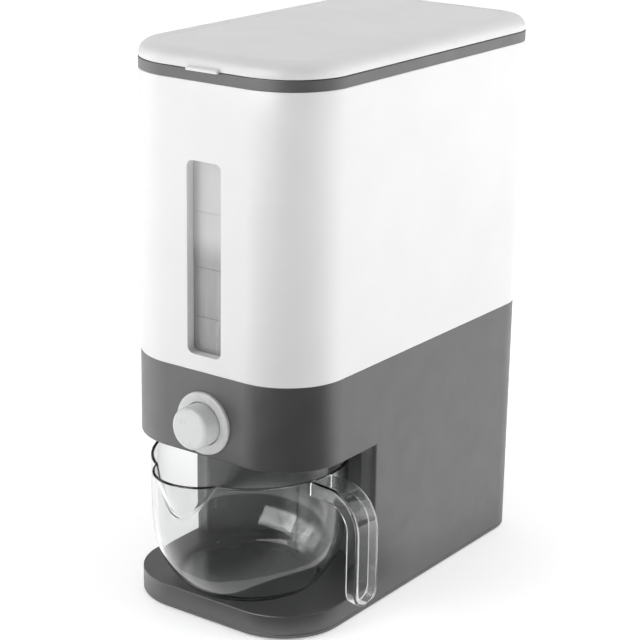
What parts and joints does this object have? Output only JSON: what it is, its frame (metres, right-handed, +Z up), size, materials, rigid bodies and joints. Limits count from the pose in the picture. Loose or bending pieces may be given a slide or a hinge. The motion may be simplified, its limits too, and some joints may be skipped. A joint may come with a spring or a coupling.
{
  "type": "cereal dispenser",
  "caption": "Countertop dry-food dispenser: white bin with hinged lid and front window on a dark grey housing, push button working a slotted gate over a clear jug with spout and handle.",
  "frame": {"origin": "on the floor, under the middle of the body's plan; the rest face named base_rest is the bottom cover's underside, 1.2 mm above it, which the four feet stand proud of", "axes": "+Z up, the front with the window, button and jug faces -Y, +X is to the right seen from the front"},
  "size_m": [0.1925, 0.3286, 0.3965],
  "materials": {
    "white_plastic": "satin",
    "grey_plastic": "satin",
    "button_plastic": "satin",
    "inner_plastic": "matt",
    "window": "clear",
    "clear_plastic": "clear",
    "gasket_silicone": "matt",
    "foot_rubber": "matt",
    "steel": "brushed"
  },
  "bodies": {
    "housing": {"lower_housing": "grey_plastic", "bottom_cover": "grey_plastic", "rubber_feet": "foot_rubber", "cover_screws": "steel", "upper_bin": "white_plastic", "window_pane": "window", "outlet_nozzle": "grey_plastic", "nozzle_screws": "steel", "gate_guide": "inner_plastic", "guide_screws": "steel", "hopper_funnel": "inner_plastic", "button_collar": "button_plastic", "spring_seat": "inner_plastic", "return_spring": "steel", "rim_frame": "grey_plastic", "hinge_pins": "steel"},
    "lid": {"lid_shell": "white_plastic", "lid_liner": "white_plastic", "lid_gasket": "gasket_silicone", "lid_screws": "steel"},
    "button": {"button_cap": "button_plastic", "gate_slide": "inner_plastic"},
    "jug": {"jug_bowl": "clear_plastic", "jug_handle": "clear_plastic"}
  },
  "joints": [
    {"name": "lid_hinge", "type": "hinge", "parent": "housing", "child": "lid", "pos_m": [0, 0.15, 0.388], "axis": [-1, 0, 0], "range_deg": [0, 100]},
    {"name": "button_slide", "type": "slide", "parent": "housing", "child": "button", "axis": [0, 1, 0], "range_m": [0, 0.013], "stiffness_N_per_m": 250, "springref_m": -0.004, "deforming": ["return_spring"]},
    {"name": "jug_slide", "type": "slide", "parent": "housing", "child": "jug", "axis": [0, -1, 0], "range_m": [0, 0.25]}
  ]
}
